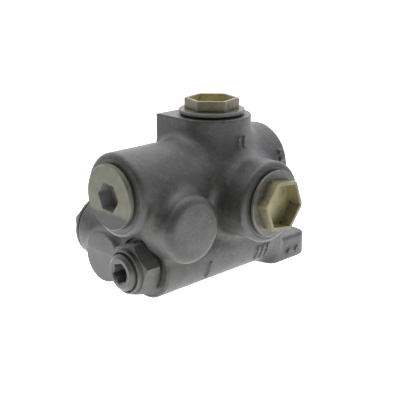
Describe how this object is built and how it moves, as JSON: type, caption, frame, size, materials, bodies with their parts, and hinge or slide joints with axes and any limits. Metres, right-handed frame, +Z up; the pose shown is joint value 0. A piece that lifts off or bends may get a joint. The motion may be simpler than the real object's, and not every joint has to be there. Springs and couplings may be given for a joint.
{
  "type": "flow control valve",
  "caption": "Cast-iron hydraulic flow control valve: spool housing, plugged threaded ports, adjustable relief cartridge and bolt-down foot.",
  "frame": {"origin": "on the resting plane, midway between the two foot bolt holes", "axes": "+Z up; +X along the bores, from the adjuster end towards the foot; -Y towards the right-hand port"},
  "size_m": [0.1554, 0.1257, 0.1138],
  "materials": {
    "cast_iron_body": "sand-cast, unpainted, rough",
    "olive_chromate": "turned, olive zinc-chromate plating",
    "amber_chromate": "amber zinc-chromate plating, patchy",
    "washer_steel": "grey plated, satin",
    "cartridge_steel": "machined, brownish grey, oiled",
    "ground_steel": "ground and hardened",
    "spring_steel": "drawn wire",
    "brass_orifice": "turned",
    "seal_rubber": "black nitrile"
  },
  "bodies": {
    "valve": {"valve_body": "cast_iron_body", "near_end_plug": "olive_chromate", "far_end_plug": "olive_chromate", "near_plug_seal": "seal_rubber", "far_plug_seal": "seal_rubber", "spool_spring": "spring_steel", "relief_spring": "spring_steel", "relief_cartridge": "cartridge_steel", "cartridge_seal": "seal_rubber", "cartridge_nose_seal": "seal_rubber", "relief_seat": "ground_steel", "gallery_plug": "ground_steel", "top_port_plug": "amber_chromate", "top_plug_washer": "washer_steel", "top_plug_seal": "seal_rubber", "right_port_plug": "amber_chromate", "right_plug_washer": "washer_steel", "right_plug_seal": "seal_rubber", "back_port_plug": "amber_chromate", "back_plug_washer": "washer_steel", "back_plug_seal": "seal_rubber"},
    "spool": {"flow_control_spool": "ground_steel", "metering_orifice": "brass_orifice"},
    "poppet": {"relief_poppet": "ground_steel"},
    "guide": {"spring_guide": "ground_steel"},
    "adjuster": {"adjusting_screw": "cartridge_steel", "adjuster_seal": "seal_rubber"}
  },
  "joints": [
    {"name": "spool_slide", "type": "slide", "parent": "valve", "child": "spool", "axis": [1, 0, 0], "range_m": [0, 0.009], "stiffness_N_per_m": 4000, "springref_m": -0.006, "deforming": ["spool_spring"]},
    {"name": "poppet_slide", "type": "slide", "parent": "valve", "child": "poppet", "axis": [1, 0, 0], "range_m": [-0.0025, 0], "stiffness_N_per_m": 5000, "springref_m": 0.003, "deforming": ["relief_spring"]},
    {"name": "guide_slide", "type": "slide", "parent": "valve", "child": "guide", "axis": [1, 0, 0], "range_m": [-0.00275, 0.00185], "deforming": ["relief_spring"]},
    {"name": "adjuster_turn", "type": "hinge", "parent": "guide", "child": "adjuster", "pos_m": [-0.1323, 0, 0.0208], "axis": [1, 0, 0], "range_deg": [-540, 360]}
  ],
  "couplings": [
    {"joint": "guide_slide", "follows": "adjuster_turn", "m_per_rad": 0.00028875}
  ]
}
